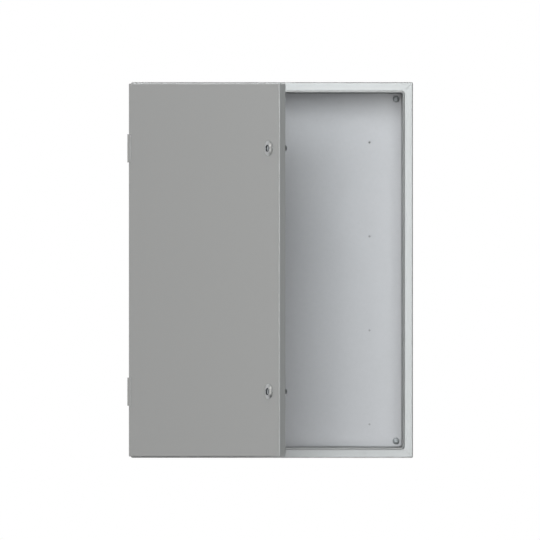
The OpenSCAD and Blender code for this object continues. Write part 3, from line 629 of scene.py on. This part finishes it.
# White world: the camera sees it white all over. Mirrored rays see it white behind the object and
# dark on the camera's side, and other rays take only a little light from it.
def whiteStudio(look):
    world = bpy.data.worlds.new("white studio")
    scene.world = world
    sky, output = freshTree(world, "ShaderNodeOutputWorld")
    white = linearColour(look["white"])
    rays = addNode(sky, "ShaderNodeLightPath").outputs
    way = addNode(sky, "ShaderNodeTexCoord").outputs["Generated"]
    parts = addNode(sky, "ShaderNodeSeparateXYZ", None, {"Vector": way})
    behind = addNode(sky, "ShaderNodeMapRange", {"interpolation_type": "SMOOTHSTEP",
        "From Min": look["fadeFrom"], "From Max": look["fadeTo"], "To Min": look["frontShare"],
        "To Max": 1.0}, {"Value": parts.outputs["Y"]})
    seen = addNode(sky, "ShaderNodeBackground", {"Color": white, "Strength": 1.0})
    mirrored = addNode(sky, "ShaderNodeBackground", {"Color": white},
        {"Strength": behind.outputs["Result"]})
    ambient = addNode(sky, "ShaderNodeBackground", {"Color": white, "Strength": look["ambient"]})
    shiny = addNode(sky, "ShaderNodeMath", {"operation": "MAXIMUM"},
        {0: rays["Is Glossy Ray"], 1: rays["Is Transmission Ray"]})
    unseen = addNode(sky, "ShaderNodeMixShader", None, {"Fac": shiny.outputs["Value"],
        1: ambient.outputs["Background"], 2: mirrored.outputs["Background"]})
    addNode(sky, "ShaderNodeMixShader", None, {"Fac": rays["Is Camera Ray"],
        1: unseen.outputs["Shader"], 2: seen.outputs["Background"]}, output.inputs["Surface"])


whiteStudio(studioLook)
print("world made")

# Place and size in metres, power in watts, colour, and whether a sheen shows the lamp.
lampLook = {
    "high front softbox": ((0.0, -6.096, 1.553), (2.0, 2.0), 90, "#F7FDFF", True),
    "front softbox": ((-0.822, -6.151, 1.042), (1.8, 1.8), 98, "#F7FDFF", True),
    "front left softbox": ((-1.654, -6.068, 0.0), (1.8, 1.8), 38, "#FFFCF6", True),
    "left softbox": ((-5.446, -1.759, 2.052), (1.8, 2.0), 32, "#FFFCF7", True),
    # A small lamp high on the left draws the highlights on the locks.
    "lock lamp": ((-3.47, -3.77, 3.44), (0.5, 0.5), 14, "#FFFFFF", True),
    "low left softbox": ((-5.675, -2.144, -0.7), (1.6, 2.8), 32, "#FFFCF7", True),
    "low right softbox": ((0.66, -6.253, -0.44), (1.2, 1.2), 44, "#F7FDFF", True),
    "floor bounce": ((0.0, -0.509, -5.996), (3.0, 3.0), 150, "#FFFFFF", True),
    # The lamps above and behind only fill their sides, so no sheen shows them.
    "top softbox": ((0.0, -1.853, 5.796), (3.0, 3.0), 250, "#FFFFFF", False),
    "rear right softbox": ((4.9, 2.8, 2.1), (3.0, 3.0), 330, "#FFFFFF", False),
    "rear left softbox": ((-3.6, 4.1, 2.3), (3.0, 3.0), 220, "#FFFFFF", False),
}
lampTarget = Vector((0, -0.3, 0))
for name, (place, size, power, colour, inSheen) in lampLook.items():
    data = bpy.data.lights.new(name, "AREA")
    data.shape = "RECTANGLE"
    data.size, data.size_y = size
    data.energy = power
    data.color = linearColour(colour)[:3]
    lamp = bpy.data.objects.new(name, data)
    scene.collection.objects.link(lamp)
    lamp.location = place
    lamp.rotation_euler = (lampTarget - Vector(place)).to_track_quat("-Z", "Y").to_euler()
    lamp.visible_glossy = inSheen
print("lamps made:", len(lampLook))

floorLook = {"colour": "#F7F7F6", "glow": 0.72, "share": 0.3, "nearM": 0.9, "farM": 2.6,
    "sizeM": 40.0, "belowMm": 2.0}


# Pale floor: near the object it takes light, so that the shadow shows, and farther off it is an
# even pale tone. Only the camera sees it, and from below it is clear.
def studioFloor(look):
    half, level = look["sizeM"] / 2, cadLow[2] - look["belowMm"] * mm
    mesh = bpy.data.meshes.new("studio floor")
    mesh.from_pydata([(-half, -half, level), (half, -half, level), (half, half, level),
        (-half, half, level)], [], [(0, 1, 2, 3)])
    floor = bpy.data.objects.new("studioFloor", mesh)
    scene.collection.objects.link(floor)
    material = bpy.data.materials.new("white studio floor")
    tree, output = freshTree(material, "ShaderNodeOutputMaterial")
    pale = linearColour(look["colour"])
    shade = [c * look["share"] for c in pale[:3]] + [1]
    matt = addNode(tree, "ShaderNodeBsdfDiffuse", {"Color": shade})
    glow = addNode(tree, "ShaderNodeEmission", {"Color": pale, "Strength": look["glow"]})
    lit = addNode(tree, "ShaderNodeAddShader", None,
        {0: matt.outputs["BSDF"], 1: glow.outputs["Emission"]})
    even = addNode(tree, "ShaderNodeEmission", {"Color": pale, "Strength": 1.0})
    place = addNode(tree, "ShaderNodeTexCoord").outputs["Object"]
    away = addNode(tree, "ShaderNodeVectorMath", {"operation": "LENGTH"}, {"Vector": place})
    fade = addNode(tree, "ShaderNodeMapRange", {"interpolation_type": "SMOOTHSTEP",
        "From Min": look["nearM"], "From Max": look["farM"]}, {"Value": away.outputs["Value"]})
    shown = addNode(tree, "ShaderNodeMixShader", None, {"Fac": fade.outputs["Result"],
        1: lit.outputs["Shader"], 2: even.outputs["Emission"]})
    clear = addNode(tree, "ShaderNodeBsdfTransparent")
    side = addNode(tree, "ShaderNodeNewGeometry")
    addNode(tree, "ShaderNodeMixShader", None, {"Fac": side.outputs["Backfacing"],
        1: shown.outputs["Shader"], 2: clear.outputs["BSDF"]}, output.inputs["Surface"])
    mesh.materials.append(material)
    floor.visible_diffuse = floor.visible_glossy = False
    floor.visible_transmission = floor.visible_shadow = False


studioFloor(floorLook)
print("floor made")

# The camera looks straight at the front without perspective, as the photograph does.
cameraLook = {"widthM": 1.1495, "place": (-0.00427, -3.0, 0.0), "tiltDegrees": 90}
cameraData = bpy.data.cameras.new("front camera")
cameraData.type = "ORTHO"
cameraData.ortho_scale = cameraLook["widthM"]
camera = bpy.data.objects.new("front camera", cameraData)
scene.collection.objects.link(camera)
camera.location = cameraLook["place"]
camera.rotation_euler = (math.radians(cameraLook["tiltDegrees"]), 0, 0)
scene.camera = camera
print("camera set")
